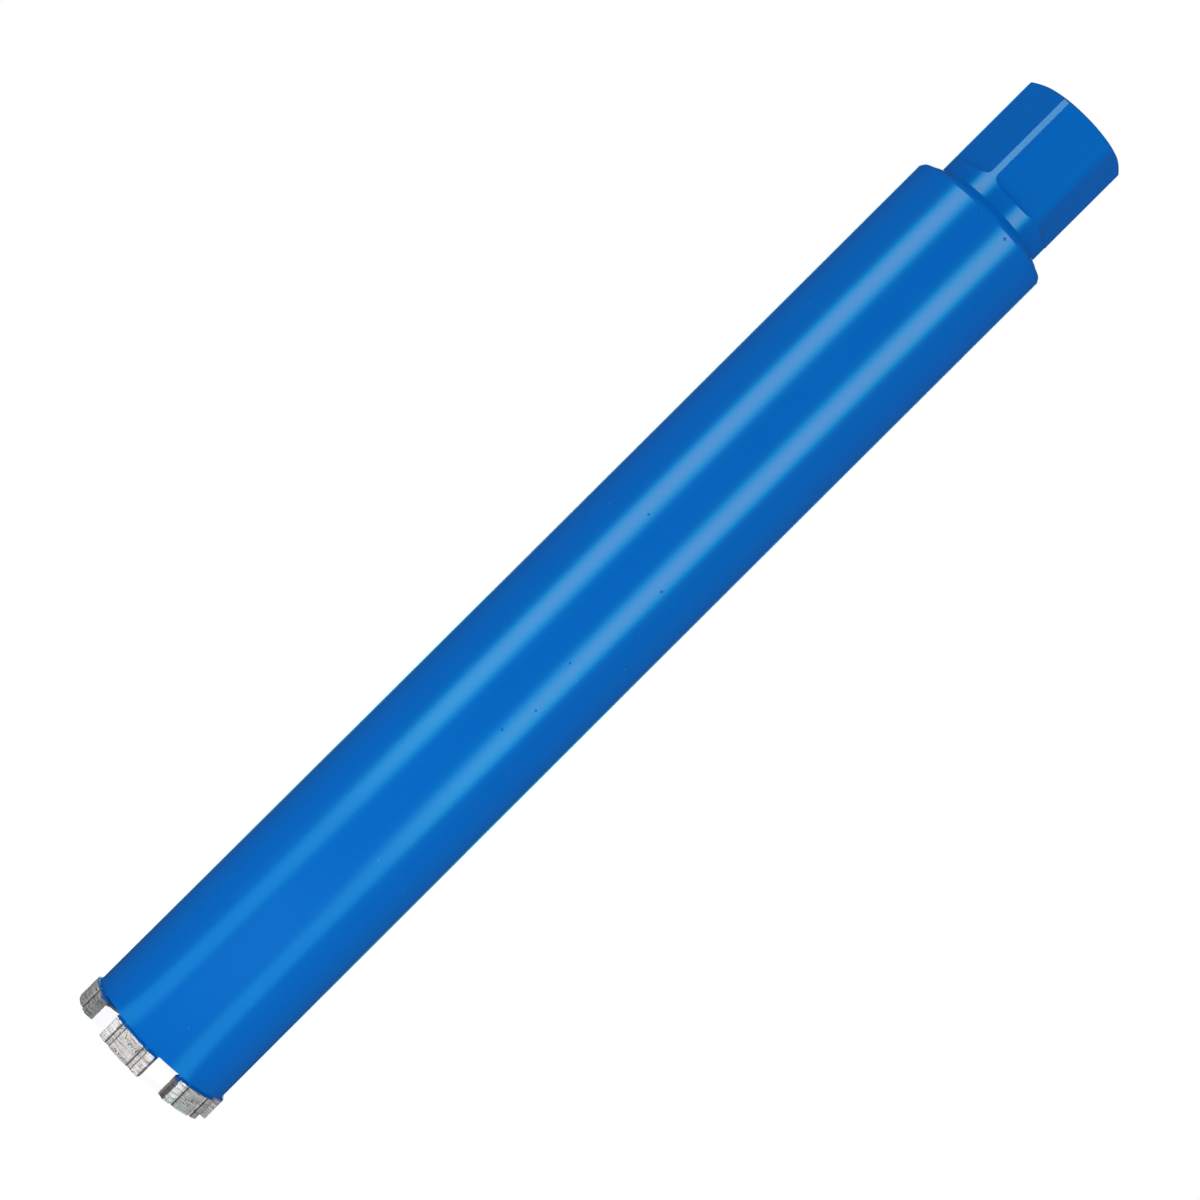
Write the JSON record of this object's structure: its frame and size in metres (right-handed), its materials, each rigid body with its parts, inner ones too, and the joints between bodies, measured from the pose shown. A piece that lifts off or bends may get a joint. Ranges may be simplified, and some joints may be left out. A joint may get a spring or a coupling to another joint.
{
  "type": "diamond core bit",
  "caption": "Wet core bit: a thin-walled steel barrel with brazed diamond segments at one end and a hexagonal threaded hub at the other.",
  "frame": {"origin": "on the barrel's axis, in the plane of the cutting faces of the segments", "axes": "+Z along the barrel's axis, from the crown up to the hub; +X through a corner of the hub's hexagon"},
  "size_m": [0.0624, 0.0624, 0.4711],
  "materials": {
    "barrel_paint": "satin blue paint over a turned tube",
    "hub_paint": "satin blue paint over turned and milled steel",
    "weld_paint": "satin blue paint over a weld bead",
    "segment_metal": "bare sintered metal, ground on its outer face",
    "braze_paint": "blue paint over braze"
  },
  "bodies": {
    "root": {"barrel_tube": "barrel_paint", "hub": "hub_paint", "hub_weld": "weld_paint", "segment_1": "segment_metal", "segment_2": "segment_metal", "segment_3": "segment_metal", "segment_4": "segment_metal", "segment_5": "segment_metal", "segment_6": "segment_metal", "segment_braze_1": "braze_paint", "segment_braze_2": "braze_paint", "segment_braze_3": "braze_paint", "segment_braze_4": "braze_paint", "segment_braze_5": "braze_paint", "segment_braze_6": "braze_paint"}
  },
  "joints": []
}
